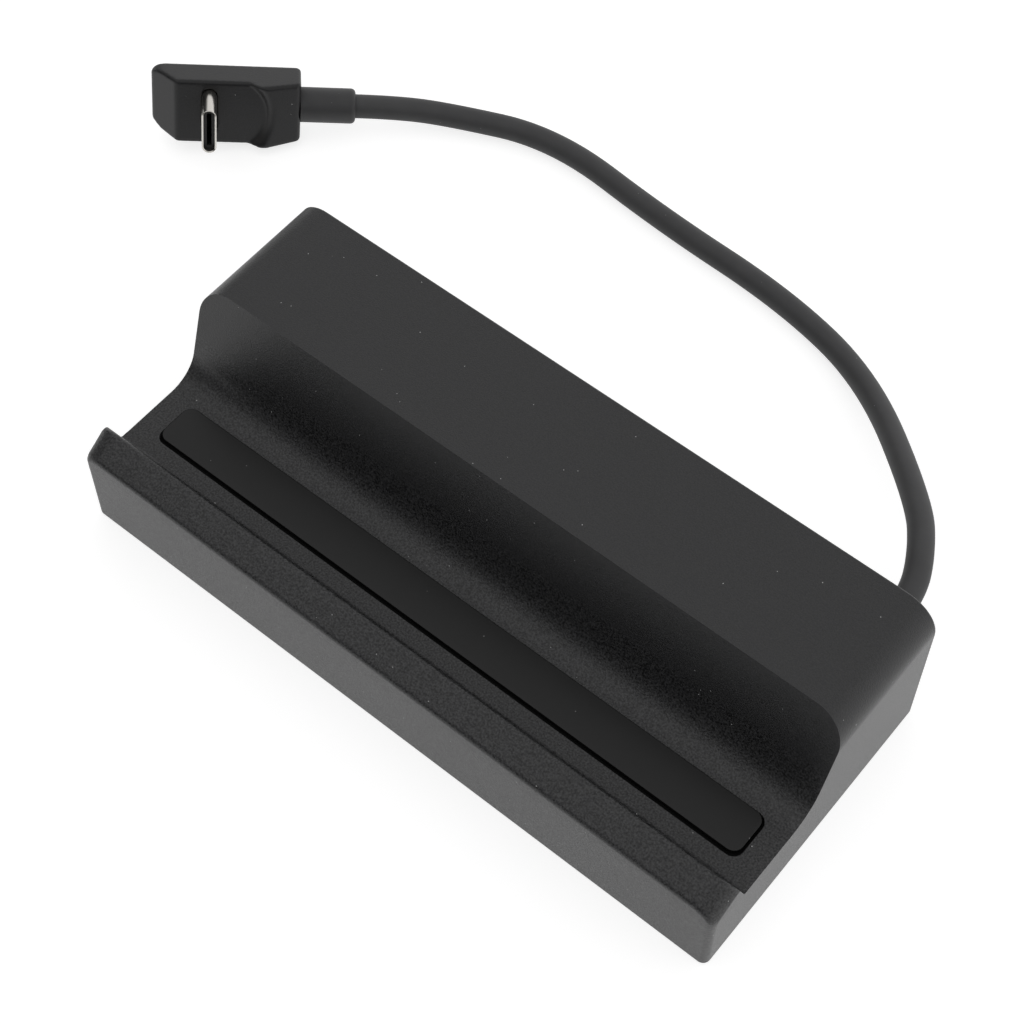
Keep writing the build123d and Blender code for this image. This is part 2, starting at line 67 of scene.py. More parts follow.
# Table and sky, whose levels of light go by the sine of the height above the table
floor_half = 4.0
floor_glow = 0.75
floor_colour = "#bcbcbc"
front_sky = ((0.0, 0.03), (0.4, 0.05), (0.6, 0.6), (0.8, 0.92), (1.0, 0.8))
back_sky = ((0.0, 1.05), (0.45, 0.95), (0.7, 0.66), (0.85, 0.62), (1.0, 0.8))
sky_seam = 0.15
sky_turn = radians(30.0)

# Cable, with the route of the part's own cable in millimetres
cable_dia = 4.1 * mm
cable_order = 3
cable_steps = 10
cable_facets = 10
cable_route = [
    (50.7, 27.5, 14.0),
    (50.7, 33.6, 14.0),
    (47.7, 40.6, 14.0),
    (42.4, 48.6, 12.0),
    (20.9, 69.1, 2.1),
    (0.9, 73.9, 2.1),
    (-24.6, 74.7, 2.1),
    (-50.1, 77.6, 2.1),
    (-68.1, 69.4, 2.8),
    (-74.9, 64.1, 4.2),
    (-79.9, 59.5, 5.0),
]

# Plug, in its own frame at the end of the cable: X towards the cable, the connector along -Y
plug_roll = radians(15.0)
sleeve_dia = 6.0 * mm
sleeve_length = 9.4 * mm
sleeve_nose = 0.8 * mm
sleeve_sides = 48
connector_x = -24.8 * mm
connector_width = 2.5 * mm
connector_height = 8.3 * mm
connector_front = 9.6 * mm
connector_root = 0.95 * mm
connector_sheet = 0.3 * mm
connector_lip = 0.14 * mm
connector_round = 0.999
slot_front = 8.5 * mm
slot_half = 3.15 * mm

# Moulded body of the plug: its softening, and how far and where in its frame it is drawn down and out
plug_voxel = 0.16 * mm
plug_relax = 20
plug_drop = 0.87 * mm
plug_drop_zones = ((-9.4 * mm, -15.0 * mm), (2.95 * mm, -2.95 * mm), (0.0, -5.65 * mm))
plug_reach = 0.35 * mm
plug_reach_zone = (-27.0 * mm, -35.5 * mm)

# Soft pieces let into the housing
pad_corner = 1.6 * mm
pad_edge = 0.08 * mm
pad_spread = ((-0.09 * mm, 0.1 * mm), (-0.16 * mm, 0.09 * mm))
# A flat black sheet under the pad, painted shade for the gap round it
shade_film_thick = 0.04 * mm
shade_film_reach = ((-0.08 * mm, 0.56 * mm), (-0.86 * mm, 0.08 * mm))
foot_corner = 4.0 * mm
foot_edge = 0.4 * mm

# Crown of the front lip in millimetres: its section from the front over the crest, and a lining below
lip_section = ((-25.04, 12.3), (-24.965, 16.115), (-20.05, 18.25), (-17.65, 11.72), (-16.3, 11.72))
lip_rounds = (0.0, 1.2, 0.9, 0.8, 0.0)
lip_lining = ((-16.3, 11.2), (-18.6, 11.2), (-20.4, 17.2), (-24.2, 15.4), (-24.5, 12.3))
lip_end_lining = ((-16.3, 11.2), (-18.6, 11.2), (-20.4, 11.6), (-24.2, 11.9), (-24.5, 12.3))
lip_half = 58.515
lip_end = 3.5
lip_end_steps = 16
lip_lining_run = 0.5
lip_left_sink = 1.1
lip_right_sink = 2.2
lip_front_sink = 0.6
lip_wall_slope = 0.37
lip_corner = 1.2
lip_sinks = (12.3, 15.6)
lip_front_zone = (-22.0, -25.0)
lip_crest_zone = (-23.0, -20.1)

# Closing of seams, and the angle past which an edge stays sharp
weld = 0.001 * mm
crease = radians(32.0)

# Places of the contacts and springs in the sockets
video_tongue_half = 0.5 * mm
power_tongue_half = 0.35 * mm
data_tongue_face = -0.03 * mm
data_wall = 2.55 * mm
network_ceiling = 10.4 * mm
network_setback = 3.0 * mm
network_slope = radians(30.0)

# One strip of each kind, in millimetres
data_contact = {"Length": 7.5, "Width": 1.0, "Thick": 0.1, "Dip": 0.12, "Bulge": 0.0}
data_spring = {"Length": 5.5, "Width": 1.7, "Thick": 0.2, "Dip": 0.0, "Bulge": 0.7}
network_wire = {"Length": 8.2, "Width": 0.45, "Thick": 0.3, "Dip": 0.0, "Bulge": 0.25}
latch_spring = {"Length": 3.4, "Width": 0.5, "Thick": 0.15, "Dip": 0.0, "Bulge": 0.55}
video_contact_a = {"Length": 6.0, "Width": 0.45, "Thick": 0.08, "Dip": 0.1, "Bulge": 0.0}
video_contact_b = {"Length": 6.5, "Width": 0.5, "Thick": 0.08, "Dip": 0.1, "Bulge": 0.0}
power_contact = {"Length": 4.0, "Width": 0.26, "Thick": 0.08, "Dip": 0.1, "Bulge": 0.0}
blade_steps = 10
blade_handles = (0.3, 0.7)

# Rows of strips: how many, and their pitch
data_contact_row = (4, 2.3 * mm)
data_spring_row = (2, 5.6 * mm)
network_row = (8, 1.02 * mm)

# Sockets with a level tongue: its half thickness, the contacts above and below it, pitch and strip
tongue_sockets = {
    "video_socket_a": (video_tongue_half, (10, 9), 1.0 * mm, video_contact_a),
    "video_socket_b": (video_tongue_half, (10, 10), 1.15 * mm, video_contact_b),
    "power_socket": (power_tongue_half, (12, 12), 0.5 * mm, power_contact),
}

# What the finishes show: sizes in millimetres, and the painted glint flecks fade in from the first place
# to the second
housing_grain = 0.22
housing_grain_deep = 0.055
glint_fleck_size = 0.3
glint_fleck_fades = {"Y": (4.0, 1.0), "Z": (20.0, 18.5)}
cloud_size = 2.5
track_size = 6.0
weave_size = 0.5

# Dust: the spacing and radius of its grains in millimetres, and the share of places without one
housing_dust = (1.5, 0.08, 0.75)
housing_dust_colour = "#b4b4b4"
moulding_dust = (1.6, 0.1, 0.86)
moulding_dust_colour = "#6e6e6e"

# Ranges: the middle of a noise that is spread out, and roughness, for metals as a share of their own
noise_middle = (0.3, 0.7)
housing_gloss = (0.3, 0.44)
board_gloss = (0.25, 0.4)
metal_gloss = (0.8, 1.3)

# Scale of a metal's pattern on each axis, so that its lines run along Y
metal_stretch = (1.0, 0.08, 1.0)

# Sockets of the mix node when it mixes colours
FACTOR, COLOUR_A, COLOUR_B, COLOUR = 0, 6, 7, 2


# Nodes and materials
def linear(colour):
    """The linear values of an sRGB hex colour, with full opacity."""
    values = [int(colour[i:i + 2], 16) / 255 for i in (1, 3, 5)]
    return [v / 12.92 if v <= 0.04045 else ((v + 0.055) / 1.055) ** 2.4 for v in values] + [1.0]


def per(size):
    """The texture scale at which one feature is so many millimetres wide."""
    return 1.0 / (size * mm)


def add_node(tree, kind, inputs=None, **settings):
    """Adds a node, sets its properties and fills its sockets with values or links."""
    node = tree.nodes.new(kind)
    for name, value in settings.items():
        setattr(node, name, value)
    for name, value in (inputs or {}).items():
        if isinstance(value, bpy.types.NodeSocket):
            tree.links.new(value, node.inputs[name])
        else:
            node.inputs[name].default_value = value
    return node


def new_material(name, constants):
    """A material with its shader's constants set, and the object coordinates for its patterns."""
    material = bpy.data.materials.new(name)
    material.use_nodes = True
    tree = material.node_tree
    shader = tree.nodes["Principled BSDF"]
    for socket, value in constants.items():
        shader.inputs[socket].default_value = value
    place = add_node(tree, "ShaderNodeTexCoord").outputs["Object"]
    return material, tree, shader, place


def dust_mask(tree, place, spacing, radius, bare):
    """One on small scattered grains of dust, and nought elsewhere."""
    cells = add_node(tree, "ShaderNodeTexVoronoi", {"Vector": place, "Scale": per(spacing)})
    near = add_node(
        tree, "ShaderNodeMath", {0: cells.outputs["Distance"], 1: radius / spacing},
        operation="LESS_THAN",
    )
    lot = add_node(tree, "ShaderNodeSeparateColor", {0: cells.outputs["Color"]})
    kept = add_node(
        tree, "ShaderNodeMath", {0: lot.outputs[0], 1: bare}, operation="GREATER_THAN"
    )
    return add_node(
        tree, "ShaderNodeMath", {0: near.outputs[0], 1: kept.outputs[0]}, operation="MULTIPLY"
    ).outputs[0]


def painted_glint_flecks(tree, place, colour, dark, light):
    """Painted glints and shade: dark and light flecks in the grain's colour, only in the cradle and on
    the lip, where the light would show the grain.
    """
    spots = add_node(
        tree, "ShaderNodeTexNoise", {"Vector": place, "Scale": per(glint_fleck_size), "Detail": 1.0}
    )
    spread = add_node(
        tree, "ShaderNodeMapRange",
        {"Value": spots.outputs["Fac"], "From Min": noise_middle[0], "From Max": noise_middle[1]},
    )
    glint_flecks = add_node(
        tree, "ShaderNodeMix",
        {FACTOR: spread.outputs["Result"], COLOUR_A: linear(dark), COLOUR_B: linear(light)},
        data_type="RGBA",
    )
    parts = add_node(tree, "ShaderNodeSeparateXYZ", {0: place}).outputs
    ahead, low = [
        add_node(
            tree, "ShaderNodeMapRange",
            {"Value": parts[axis], "From Min": start * mm, "From Max": end * mm},
        ).outputs["Result"]
        for axis, (start, end) in glint_fleck_fades.items()
    ]
    glints_shown = add_node(tree, "ShaderNodeMath", {0: ahead, 1: low}, operation="MULTIPLY")
    return add_node(
        tree, "ShaderNodeMix",
        {FACTOR: glints_shown.outputs[0], COLOUR_A: colour, COLOUR_B: glint_flecks.outputs[COLOUR]},
        data_type="RGBA",
    ).outputs[COLOUR]


def moulded_abs(name, dark, light, gloss_level, grain_mm, deep_mm, glint_flecks=None):
    """Black ABS from a spark-eroded mould: an even fine grain that breaks up its dull gloss.

    The grain is drawn about twice as coarse as a real one, because a finer one can't show here.
    """
    material, tree, shader, place = new_material(
        name, {"IOR": 1.46, "Specular IOR Level": gloss_level}
    )
    grain = add_node(
        tree, "ShaderNodeTexNoise",
        {"Vector": place, "Scale": per(grain_mm), "Detail": 2.0, "Roughness": 0.6},
    )
    depth = add_node(
        tree, "ShaderNodeMapRange",
        {"Value": grain.outputs["Fac"], "From Min": noise_middle[0], "From Max": noise_middle[1]},
    )
    plastic = add_node(
        tree, "ShaderNodeMix",
        {FACTOR: depth.outputs["Result"], COLOUR_A: linear(dark), COLOUR_B: linear(light)},
        data_type="RGBA",
    )
    colour = plastic.outputs[COLOUR]
    # Painted glints and shade: colour flecks only where the light would show the grain
    if glint_flecks:
        colour = painted_glint_flecks(tree, place, colour, *glint_flecks)
    dust = dust_mask(tree, place, *housing_dust)
    dusty = add_node(
        tree, "ShaderNodeMix",
        {FACTOR: dust, COLOUR_A: colour, COLOUR_B: linear(housing_dust_colour)},
        data_type="RGBA",
    )
    gloss = add_node(
        tree, "ShaderNodeMapRange",
        {"Value": depth.outputs["Result"], "To Min": housing_gloss[0], "To Max": housing_gloss[1]},
    )
    relief = add_node(
        tree, "ShaderNodeBump",
        {"Height": grain.outputs["Fac"], "Strength": 1.0, "Distance": deep_mm * mm},
    )
    tree.links.new(dusty.outputs[COLOUR], shader.inputs["Base Color"])
    tree.links.new(gloss.outputs["Result"], shader.inputs["Roughness"])
    tree.links.new(relief.outputs["Normal"], shader.inputs["Normal"])
    return material


def dull_moulding(name, dark, light, roughness, grain_mm, deep_mm, ior=1.5):
    """Moulded rubber, nylon, epoxy or ferrite: a soft satin with faint clouds and a little dust."""
    material, tree, shader, place = new_material(name, {"IOR": ior, "Roughness": roughness})
    cloud = add_node(
        tree, "ShaderNodeTexNoise", {"Vector": place, "Scale": per(cloud_size), "Detail": 5.0}
    )
    rubber = add_node(
        tree, "ShaderNodeMix",
        {FACTOR: cloud.outputs["Fac"], COLOUR_A: linear(dark), COLOUR_B: linear(light)},
        data_type="RGBA",
    )
    dust = dust_mask(tree, place, *moulding_dust)
    dusty = add_node(
        tree, "ShaderNodeMix",
        {FACTOR: dust, COLOUR_A: rubber.outputs[COLOUR], COLOUR_B: linear(moulding_dust_colour)},
        data_type="RGBA",
    )
    grain = add_node(
        tree, "ShaderNodeTexNoise", {"Vector": place, "Scale": per(grain_mm), "Detail": 2.0}
    )
    relief = add_node(
        tree, "ShaderNodeBump",
        {"Height": grain.outputs["Fac"], "Strength": 1.0, "Distance": deep_mm * mm},
    )
    tree.links.new(dusty.outputs[COLOUR], shader.inputs["Base Color"])
    tree.links.new(relief.outputs["Normal"], shader.inputs["Normal"])
    return material


def plated_metal(name, dark, light, roughness, drawn_mm):
    """Thin plated sheet: a clear metallic gloss with faint lines from rolling or drawing."""
    material, tree, shader, place = new_material(name, {"Metallic": 1.0})
    stretch = add_node(tree, "ShaderNodeMapping", {"Vector": place, "Scale": metal_stretch})
    lines = add_node(
        tree, "ShaderNodeTexNoise",
        {"Vector": stretch.outputs["Vector"], "Scale": per(drawn_mm), "Detail": 3.0},
    )
    metal = add_node(
        tree, "ShaderNodeMix",
        {FACTOR: lines.outputs["Fac"], COLOUR_A: linear(dark), COLOUR_B: linear(light)},
        data_type="RGBA",
    )
    smooth, rough = [roughness * factor for factor in metal_gloss]
    gloss = add_node(
        tree, "ShaderNodeMapRange",
        {"Value": lines.outputs["Fac"], "To Min": smooth, "To Max": rough},
    )
    tree.links.new(metal.outputs[COLOUR], shader.inputs["Base Color"])
    tree.links.new(gloss.outputs["Result"], shader.inputs["Roughness"])
    return material


def lacquered_board():
    """Glass-epoxy board under green lacquer: a gloss with the weave and copper just below it."""
    material, tree, shader, place = new_material("lacquered_glass_epoxy", {"IOR": 1.5})
    copper = add_node(
        tree, "ShaderNodeTexBrick",
        {
            "Vector": place, "Scale": per(track_size), "Mortar Size": 0.06, "Brick Width": 0.7,
            "Color1": linear("#0f3d2b"), "Color2": linear("#114632"), "Mortar": linear("#1d5a40"),
        },
    )
    weave = add_node(
        tree, "ShaderNodeTexNoise", {"Vector": place, "Scale": per(weave_size), "Detail": 1.0}
    )
    gloss = add_node(
        tree, "ShaderNodeMapRange",
        {"Value": weave.outputs["Fac"], "To Min": board_gloss[0], "To Max": board_gloss[1]},
    )
    tree.links.new(copper.outputs["Color"], shader.inputs["Base Color"])
    tree.links.new(gloss.outputs["Result"], shader.inputs["Roughness"])
    return material


materials = {
    # Dark grey whose grain glitters in flat light, with painted glints and shade flecks in the cradle
    # and on the lip
    "housing": moulded_abs(
        "spark_eroded_abs", "#252526", "#333334", 0.5, housing_grain, housing_grain_deep,
        ("#0e0e0f", "#3f3f40"),
    ),
    # The housing's grain painted darker, as painted shade for the underside, without the glint flecks
    "cover": moulded_abs(
        "spark_eroded_abs_cover_shaded", "#222223", "#2e2e2f", 0.5, housing_grain, housing_grain_deep
    ),
    # A shallower grain, darker and duller than the housing
    "plug": moulded_abs("matt_moulded_plug", "#1c1c1d", "#242425", 0.38, 0.28, 0.03),
    # Smooth black with a soft sheen
    "pad": dull_moulding("smooth_rubber_pad", "#111111", "#151515", 0.4, 0.5, 0.002, 1.42),
    # Flat black, painted shade that deepens the gap round the pad
    "gap_shade": dull_moulding("black_gap_shade_film", "#040404", "#070707", 0.9, 0.4, 0.01, 1.3),
    # Dull black with a fine tooth
    "foot": dull_moulding("rubber_foot", "#1a1a1a", "#202020", 0.7, 0.4, 0.02),
    # Dark grey satin
    "cable": dull_moulding("satin_cable_jacket", "#363637", "#424243", 0.6, 0.9, 0.015),
    # Satin a shade darker than the cable
    "sleeve": dull_moulding("satin_moulded_sleeve", "#303031", "#383839", 0.55, 0.5, 0.01),
    # Black with a faint sheen, deep in the sockets
    "insulator": dull_moulding("glass_filled_nylon", "#0f0f10", "#141415", 0.5, 0.3, 0.008),
    # Charcoal with a dull sheen
    "chip": dull_moulding("moulded_epoxy_package", "#17181a", "#1d1e20", 0.55, 0.2, 0.01),
    # Dry dark grey
    "ferrite": dull_moulding("sintered_ferrite", "#3a3a3c", "#444447", 0.65, 0.25, 0.02),
    # Pale blue-grey without gloss
    "thermal_pad": dull_moulding("silicone_gap_pad", "#98a0ad", "#a6adb9", 0.7, 0.4, 0.01),
    # Bright warm silver with faint rolling lines
    "socket_steel": plated_metal("nickel_plated_steel", "#c2beb8", "#d9d6d1", 0.2, 0.12),
    # Pale silver with fine drawing lines
    "can": plated_metal("drawn_aluminium_can", "#cfcfd1", "#dededf", 0.28, 0.15),
    # Softer silver with wider rolling lines
    "spreader": plated_metal("rolled_aluminium_plate", "#c6c6c8", "#d6d6d8", 0.34, 0.2),
    # Dark metal with a low gloss
    "screw": plated_metal("black_zinc_steel", "#3b3b3d", "#4a4a4c", 0.35, 0.15),
    # Clear yellow gilding
    "contact": plated_metal("gilt_bronze_contact", "#c79c45", "#e0bd6a", 0.22, 0.1),
    # Deep green gloss over paler tracks
    "board": lacquered_board(),
}


# Pieces
def link(name, data):
    """Puts a mesh, curve or camera in the scene as an object of its own."""
    piece = bpy.data.objects.new(name, data)
    scene.collection.objects.link(piece)
    return piece


def dress(piece, slot, finish=None, replaced=()):
    """Gives a piece its finish, sets it on the part's one body and lets it stand for CAD nodes."""
    piece.data.materials.clear()
    piece.data.materials.append(materials[finish or slot])
    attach(piece, "root")
    if replaced:
        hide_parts(*replaced)
    return piece


def merged_mesh(node):
    """A copy of a CAD node's mesh with its seams closed."""
    mesh = nodes[node].data.copy()
    form = bmesh.new()
    form.from_mesh(mesh)
    bmesh.ops.remove_doubles(form, verts=form.verts, dist=weld)
    form.to_mesh(mesh)
    form.free()
    return mesh


def made_plain(piece):
    """Turns what a piece's modifiers give into a plain mesh, and removes them."""
    made = piece.evaluated_get(bpy.context.evaluated_depsgraph_get())
    mesh = bpy.data.meshes.new_from_object(made)
    piece.modifiers.clear()
    piece.data = mesh
    return piece


def smooth_copy(node):
    """A copy of a CAD node, smooth over its rounds and flat on its flats."""
    mesh = merged_mesh(node)
    for attribute in ("custom_normal", "sharp_face", "sharp_edge"):
        if attribute in mesh.attributes:
            mesh.attributes.remove(mesh.attributes[attribute])
    mesh.shade_smooth()
    mesh.set_sharp_from_angle(angle=crease)
    piece = link(f"{node}_skin", mesh)
    flats = piece.modifiers.new("flats", "WEIGHTED_NORMAL")
    flats.keep_sharp = True
    return piece


def loft(name, rings, around=False):
    """A closed skin through rings of equally many points, capped at its ends or joined round."""
    form = bmesh.new()
    rows = [[form.verts.new(point) for point in ring] for ring in rings]
    pairs = list(zip(rows, rows[1:]))
    if around:
        pairs.append((rows[-1], rows[0]))
    else:
        form.faces.new(rows[0])
        form.faces.new(rows[-1])
    for first, second in pairs:
        for i in range(len(first)):
            j = (i + 1) % len(first)
            form.faces.new((first[i], first[j], second[j], second[i]))
    bmesh.ops.recalc_face_normals(form, faces=form.faces)
    mesh = bpy.data.meshes.new(name)
    form.to_mesh(mesh)
    form.free()
    mesh.shade_smooth()
    mesh.set_sharp_from_angle(angle=crease)
    return link(name, mesh)


def rounded_outline(width, depth, corner, steps=10):
    """The points of a rectangle with rounded corners, about the origin."""
    points = []
    for quarter, (side_x, side_y) in enumerate(((1, 1), (-1, 1), (-1, -1), (1, -1))):
        middle_x = side_x * (width / 2 - corner)
        middle_y = side_y * (depth / 2 - corner)
        for step in range(steps + 1):
            angle = (quarter + step / steps) * pi / 2
            points.append((middle_x + corner * cos(angle), middle_y + corner * sin(angle)))
    return points


def quarter_round(radius, steps=5):
    """Pairs of inset and rise along a rounded edge, from its side to its face."""
    turns = [step / steps * pi / 2 for step in range(steps + 1)]
    return [(radius * (1 - cos(turn)), radius * sin(turn)) for turn in turns]


def slab(node, corner, edge, rounded_top, spread=((0, 0), (0, 0))):
    """A flat soft piece in the place of a CAD node, with one of its faces rounded at its edge."""
    low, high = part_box(node)
    low += Vector((spread[0][0], spread[1][0], 0))
    high += Vector((spread[0][1], spread[1][1], 0))
    middle = (low + high) / 2
    start, side = (low.z, 1) if rounded_top else (high.z, -1)
    shoulder = high.z - low.z - edge
    levels = [(0.0, 0.0)] + [(inset, shoulder + rise) for inset, rise in quarter_round(edge)]
    rings = []
    for inset, rise in levels:
        outline = rounded_outline(
            high.x - low.x - 2 * inset, high.y - low.y - 2 * inset, corner - inset
        )
        rings.append([(middle.x + x, middle.y + y, start + side * rise) for x, y in outline])
    return loft(f"{node}_soft", rings)


def rounded_path(corners, radii, steps=8):
    """An open line through corners, each one rounded by its radius."""
    points = [Vector(corner) for corner in corners]
    line = [points[0]]
    for before, corner, after, radius in zip(points, points[1:], points[2:], radii[1:]):
        into = (corner - before).normalized()
        out = (after - corner).normalized()
        turn = into.angle_signed(out)
        reach = radius * tan(abs(turn) / 2)
        for step in range(steps + 1):
            part = step / steps
            first = corner - into * reach * (1 - part)
            second = corner + out * reach * part
            line.append(first.lerp(second, part))
    return line + [points[-1]]


def share(value, span):
    """How far a value is along a span, from nought to one."""
    return min(1.0, max(0.0, (value - span[0]) / (span[1] - span[0])))


def arc_fall(along, length, fall):
    """How far an arc has fallen away, when it falls by a given amount over a given length."""
    radius = (length ** 2 + fall ** 2) / (2 * fall)
    return radius - sqrt(max(0.0, radius ** 2 - along ** 2))


def lip_ring(x, lining):
    """The lip's section at a place along it, sunk towards the ends along its rear slope."""
    beyond = max(0.0, abs(x) - (lip_half - lip_end))
    corner = max(0.0, abs(x) - (lip_half - lip_corner))
    sink = arc_fall(beyond, lip_end, lip_right_sink if x > 0 else lip_left_sink)
    front_sink = arc_fall(beyond, lip_end, lip_front_sink)
    turn = arc_fall(corner, lip_corner, lip_corner)
    ring = []
    for y, z in rounded_path(lip_section, lip_rounds) + [Vector(point) for point in lining]:
        high = share(z, lip_sinks)
        front = share(y, lip_front_zone)
        down = (sink + front_sink * front) * high
        back = down * share(y, lip_crest_zone) * lip_wall_slope
        ring.append(Vector((x, y + turn * front + back, z - down)) * mm)
    return ring


def lip_crown():
    """A skin over the front lip, whose even crest falls in an arc at each of its two ends."""
    turns = [step / lip_end_steps * pi / 2 for step in range(lip_end_steps + 1)]
    places = [lip_half - lip_end * (1 - sin(turn)) for turn in turns]
    rings = [lip_ring(-x, lip_end_lining) for x in reversed(places)]
    middle = places[0] - lip_lining_run
    rings += [lip_ring(x, lip_lining) for x in (-middle, middle)]
    rings += [lip_ring(x, lip_end_lining) for x in places]
    return dress(loft("front_lip_crown", rings), "housing")


def pad_shade_film():
    """A flat black sheet under the cradle pad: painted shade that blackens the gap round the pad."""
    low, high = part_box("cradle_pad")
    (left, right), (front, rear) = shade_film_reach
    width = high.x - low.x + right - left
    depth = high.y - low.y + rear - front
    middle = (low + high) / 2 + Vector((left + right, front + rear, 0)) / 2
    rings = []
    for z in (low.z, low.z + shade_film_thick):
        outline = rounded_outline(width, depth, pad_corner)
        rings.append([(middle.x + x, middle.y + y, z) for x, y in outline])
    return dress(loft("cradle_pad_gap_shade", rings), "pad", finish="gap_shade")


def route_point(index):
    """A point of the cable's route in metres."""
    return Vector(cable_route[index]) * mm


def plug_frame():
    """The plug's own frame: X back along the cable, and Z up apart from the plug's roll."""
    along = (route_point(-2) - route_point(-1)).normalized()
    upright = Vector((0, 0, 1))
    upright = (upright - along * upright.dot(along)).normalized()
    upright = Quaternion(along, -plug_roll) @ upright
    sideways = upright.cross(along)
    turn = Matrix((along, sideways, upright)).transposed().to_4x4()
    return Matrix.Translation(route_point(-1)) @ turn


def cable():
    """The lead itself: one smooth line through the part's own route."""
    curve = bpy.data.curves.new("cable_lead", "CURVE")
    curve.dimensions = "3D"
    spline = curve.splines.new("NURBS")
    spline.points.add(len(cable_route) - 1)
    for point, place in zip(spline.points, cable_route):
        point.co = (*(Vector(place) * mm), 1.0)
    spline.order_u = cable_order
    spline.use_endpoint_u = True
    spline.resolution_u = cable_steps
    curve.bevel_depth = cable_dia / 2
    curve.bevel_resolution = cable_facets
    curve.use_fill_caps = True
    return dress(link("cable_lead", curve), "cable", replaced=["cable"])


def plug_body():
    """The moulded plug, relaxed as its mould leaves no sharp edge, and drawn out at its free end."""
    body = link("plug_body_soft", merged_mesh("plug_body"))
    even = body.modifiers.new("even", "REMESH")
    even.mode = "VOXEL"
    even.voxel_size = plug_voxel
    relax = body.modifiers.new("relax", "SMOOTH")
    relax.iterations = plug_relax
    made_plain(body).data.shade_smooth()
    place = plug_frame()
    into = place.inverted()
    for vertex in body.data.vertices:
        point = into @ vertex.co
        lowered = prod(share(value, zone) for value, zone in zip(point, plug_drop_zones))
        point.z -= plug_drop * lowered
        point.x -= plug_reach * share(point.x, plug_reach_zone)
        vertex.co = place @ point
    return dress(body, "plug", replaced=["plug_body"])


def plug_sleeve():
    """The moulded sleeve between cable and plug, with its nose rounded."""
    place = plug_frame()
    levels = [(0.0, -sleeve_length)]
    levels += [(inset, rise - sleeve_nose) for inset, rise in quarter_round(sleeve_nose)]
    turns = [step / sleeve_sides * tau for step in range(sleeve_sides)]
    rings = []
    for inset, x in levels:
        radius = sleeve_dia / 2 - inset
        rings.append([place @ Vector((x, radius * cos(t), radius * sin(t))) for t in turns])
    return dress(loft("plug_sleeve_soft", rings), "sleeve", replaced=["plug_sleeve"])


def plug_shell():
    """The connector's drawn steel shell, with a rounded lip round its mouth."""
    place = plug_frame()
    shoulder = connector_front - connector_lip
    mouth = [(inset, shoulder + rise) for inset, rise in quarter_round(connector_lip)]
    inside = [(connector_sheet, shoulder), (connector_sheet, connector_root)]
    levels = [(0.0, connector_root), *mouth, *inside]
    rings = []
    for inset, reach in levels:
        width = connector_width - 2 * inset
        # The rounds stay just short of half circles, so that no two points meet
        outline = rounded_outline(width, connector_height - 2 * inset, width / 2 * connector_round)
        rings.append([place @ Vector((connector_x + x, -reach, z)) for x, z in outline])
    return dress(loft("plug_shell_drawn", rings, around=True), "socket_steel", replaced=["plug_shell"])


def contact_tree():
    """Geometry nodes that lay a row of sheet-metal strips, each one a bent blade.

    A blade starts at its front end, runs along -Y, bulges towards its own +Z and dips at its front.
    """
    tree = bpy.data.node_groups.new("contact_row", "GeometryNodeTree")
    sockets = {
        "Count": "Int", "First": "Vector", "Step": "Vector", "Turn": "Vector", "Length": "Float",
        "Width": "Float", "Thick": "Float", "Dip": "Float", "Bulge": "Float", "Finish": "Material",
    }
    for name, kind in sockets.items():
        tree.interface.new_socket(name, in_out="INPUT", socket_type=f"NodeSocket{kind}")
    tree.interface.new_socket("Row", in_out="OUTPUT", socket_type="NodeSocketGeometry")
    given = add_node(tree, "NodeGroupInput").outputs

    def blade_point(part, height):
        """A point of the blade's line, a part of its length behind the front end."""
        back = add_node(
            tree, "ShaderNodeMath", {0: given["Length"], 1: -part}, operation="MULTIPLY"
        )
        return add_node(
            tree, "ShaderNodeCombineXYZ", {"Y": back.outputs[0], "Z": height}
        ).outputs[0]

    sunk = add_node(tree, "ShaderNodeMath", {0: given["Dip"], 1: -1.0}, operation="MULTIPLY")
    line = add_node(
        tree, "GeometryNodeCurvePrimitiveBezierSegment",
        {
            "Resolution": blade_steps,
            "Start": blade_point(0.0, sunk.outputs[0]),
            "Start Handle": blade_point(blade_handles[0], given["Bulge"]),
            "End Handle": blade_point(blade_handles[1], given["Bulge"]),
            "End": blade_point(1.0, 0.0),
        },
    )
    level = add_node(
        tree, "GeometryNodeSetCurveNormal", {"Curve": line.outputs["Curve"]}, mode="Z_UP"
    )
    section = add_node(
        tree, "GeometryNodeCurvePrimitiveQuadrilateral",
        {"Width": given["Width"], "Height": given["Thick"]},
    )
    blade = add_node(
        tree, "GeometryNodeCurveToMesh",
        {"Curve": level.outputs["Curve"], "Profile Curve": section.outputs["Curve"], "Fill Caps": True},
    )
    row = add_node(
        tree, "GeometryNodeMeshLine",
        {"Count": given["Count"], "Start Location": given["First"], "Offset": given["Step"]},
    )
    turn = add_node(tree, "FunctionNodeEulerToRotation", {0: given["Turn"]})
    laid = add_node(
        tree, "GeometryNodeInstanceOnPoints",
        {
            "Points": row.outputs["Mesh"], "Instance": blade.outputs["Mesh"],
            "Rotation": turn.outputs[0],
        },
    )
    solid = add_node(tree, "GeometryNodeRealizeInstances", {"Geometry": laid.outputs["Instances"]})
    finished = add_node(
        tree, "GeometryNodeSetMaterial",
        {"Geometry": solid.outputs["Geometry"], "Material": given["Finish"]},
    )
    add_node(tree, "NodeGroupOutput", {"Row": finished.outputs["Geometry"]})
    return tree


